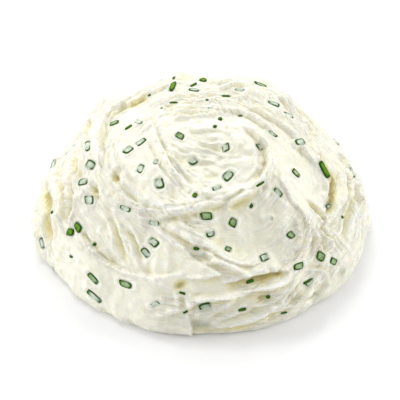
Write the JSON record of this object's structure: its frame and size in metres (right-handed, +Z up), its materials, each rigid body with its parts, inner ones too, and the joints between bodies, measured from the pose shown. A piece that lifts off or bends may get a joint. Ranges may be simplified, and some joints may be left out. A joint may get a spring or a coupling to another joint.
{
  "type": "whipped chive cream cheese",
  "caption": "Swirled low mound of whipped fresh cheese with chopped chives set in its skin, a spread to serve or scoop from a flat surface.",
  "frame": {"origin": "centre of the mound's flat foot, on the surface that it rests on", "axes": "+Z up through the mound, -Y toward the side that the picture shows"},
  "size_m": [0.1156, 0.1184, 0.0448],
  "materials": {
    "cream": "soft moist whipped cheese, pale ivory",
    "chive": "moist chopped chive, deep green, partly coated with the cheese"
  },
  "bodies": {
    "root": {"cream_cheese": "cream"}
  },
  "joints": []
}
